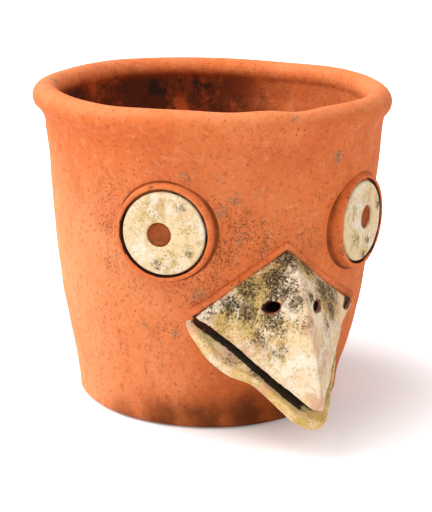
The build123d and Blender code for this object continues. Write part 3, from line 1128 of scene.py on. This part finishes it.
seam_clay = red_clay("red_clay_seam")
seam_curve = bpy.data.curves.new("seam_path", "CURVE")
seam_curve.dimensions = "3D"
spline = seam_curve.splines.new("POLY")
route = seam_route()
spline.points.add(len(route) - 1)
for knot, at in zip(spline.points, route):
    knot.co = (*at, 1)
path = put_in_scene("seam_path", seam_curve)
coil = path.modifiers.new("coil", "NODES")
coil.node_group = coil_tree("clay_coil", seam_clay)
seam_mesh = bpy.data.meshes.new_from_object(path.evaluated_get(bpy.context.evaluated_depsgraph_get()))
bpy.data.objects.remove(path)
seam = put_in_scene("beak_seam_piece", seam_mesh)
seam.data.shade_smooth()
soak(seam, "mould", beak_spots(
    (84, -30, 28, 16, 0.6), (84, 10, 42, 14, 0.6), (80, 40, 18, 16, 0.5), (76, -48, 10, 14, 0.7),
))
# Painted shade on the coil round the gap at the corner of the mouth.
soak(seam, "stain_and_shade", beak_spots((80, 50, 8, 18, 0.6)))
hand_on(seam, "beak_seam")

# Floor: a plain white sweep of matt board, flat and far wider than the pot. It keeps the pot's soft
# shadow and brightens away from it.
floor_size = 6.0
glow_near = 0.17
glow_added = 0.75
floor_white = Finish("white_floor")
floor_mesh = bpy.data.meshes.new("floor")
half = floor_size / 2
corners = [(-half, -half, 0), (half, -half, 0), (half, half, 0), (-half, half, 0)]
floor_mesh.from_pydata(corners, [], [(0, 1, 2, 3)])
floor = put_in_scene("floor", floor_mesh)
floor_white.coat("#F4F0F0")
floor_white.coat("#F7F4F6", floor_white.patches(400, 0.3, 0.7), 0.5)
floor_material = floor_white.fired(0.9)


def seen_plainly(tree):
    """1 on what the camera sees straight, in a reflection or through glass, 0 for light that is passed on."""
    rays = tree.nodes.new("ShaderNodeLightPath")
    found = rays.outputs["Is Camera Ray"]
    for kind in ("Is Glossy Ray", "Is Transmission Ray"):
        either = tree.nodes.new("ShaderNodeMath")
        either.operation = "MAXIMUM"
        tree.links.new(found, either.inputs[0])
        tree.links.new(rays.outputs[kind], either.inputs[1])
        found = either.outputs[0]
    return found


far_off = floor_white.nodes.new("ShaderNodeVectorMath")
far_off.operation = "LENGTH"
floor_white.put(far_off.inputs[0], floor_white.place)
distance = floor_white.ramp(far_off.outputs["Value"], 0.1, 0.28)
strength = floor_white.plus(glow_near, floor_white.times(distance, glow_added))
shown = seen_plainly(floor_material.node_tree)
glow = floor_white.nodes.new("ShaderNodeEmission")
glow.inputs["Color"].default_value = (1, 1, 1, 1)
floor_white.put(glow.inputs["Strength"], floor_white.times(shown, strength))
both = floor_white.nodes.new("ShaderNodeAddShader")
floor_white.put(both.inputs[0], floor_white.shader.outputs[0])
floor_white.put(both.inputs[1], glow.outputs[0])
floor_white.put(floor_white.nodes["Material Output"].inputs["Surface"], both.outputs[0])
floor_mesh.materials.append(floor_material)

# Light and camera: one large soft lamp high on the left, a weak one on the right, and a white room that
# shows brighter than it shines. The camera looks down on the bird's right side.
scene = bpy.context.scene
scene.view_settings.view_transform = "Standard"
aim = Vector((0, 0, 100 * mm))
room_light = 0.42


def soft_lamp(name, turn, rise, distance, size, power):
    """Square lamp aimed at the pot: turn round it, angle above the floor, distance, size, watts."""
    light = bpy.data.lights.new(name, "AREA")
    light.shape = "SQUARE"
    light.size = size
    light.energy = power
    lamp = put_in_scene(name, light)
    angle = math.radians(rise)
    lamp.location = aim + round_pot(turn, math.cos(angle) * distance, math.sin(angle) * distance)
    lamp.rotation_euler = (aim - lamp.location).to_track_quat("-Z", "Y").to_euler()


soft_lamp("key_lamp", -120, 52, 1.6, 1.8, 43)
soft_lamp("fill_lamp", 5, 35, 2.0, 1.8, 12)
room = bpy.data.worlds.new("room")
scene.world = room
room.use_nodes = True
sky = room.node_tree.nodes["Background"]
sky.inputs["Color"].default_value = (1, 1, 1, 1)
level = room.node_tree.nodes.new("ShaderNodeMapRange")
level.inputs["To Min"].default_value = room_light
level.inputs["To Max"].default_value = 1.0
room.node_tree.links.new(seen_plainly(room.node_tree), level.inputs["Value"])
room.node_tree.links.new(level.outputs["Result"], sky.inputs["Strength"])

camera_place = Vector((-403.8, -836.0, 363.2)) * mm
camera_tilt = math.radians(16.344)
camera_roll = math.radians(0.644)
lens = bpy.data.cameras.new("camera")
lens.lens = 98.44
lens.sensor_width = 36
camera = put_in_scene("camera", lens)
heading = math.radians(camera_turn)
flat = math.cos(camera_tilt)
view = Vector((-math.sin(heading) * flat, math.cos(heading) * flat, -math.sin(camera_tilt)))
turned = view.to_track_quat("-Z", "Y").to_matrix() @ Matrix.Rotation(camera_roll, 3, "Z")
camera.rotation_euler = turned.to_euler()
camera.location = camera_place
scene.camera = camera
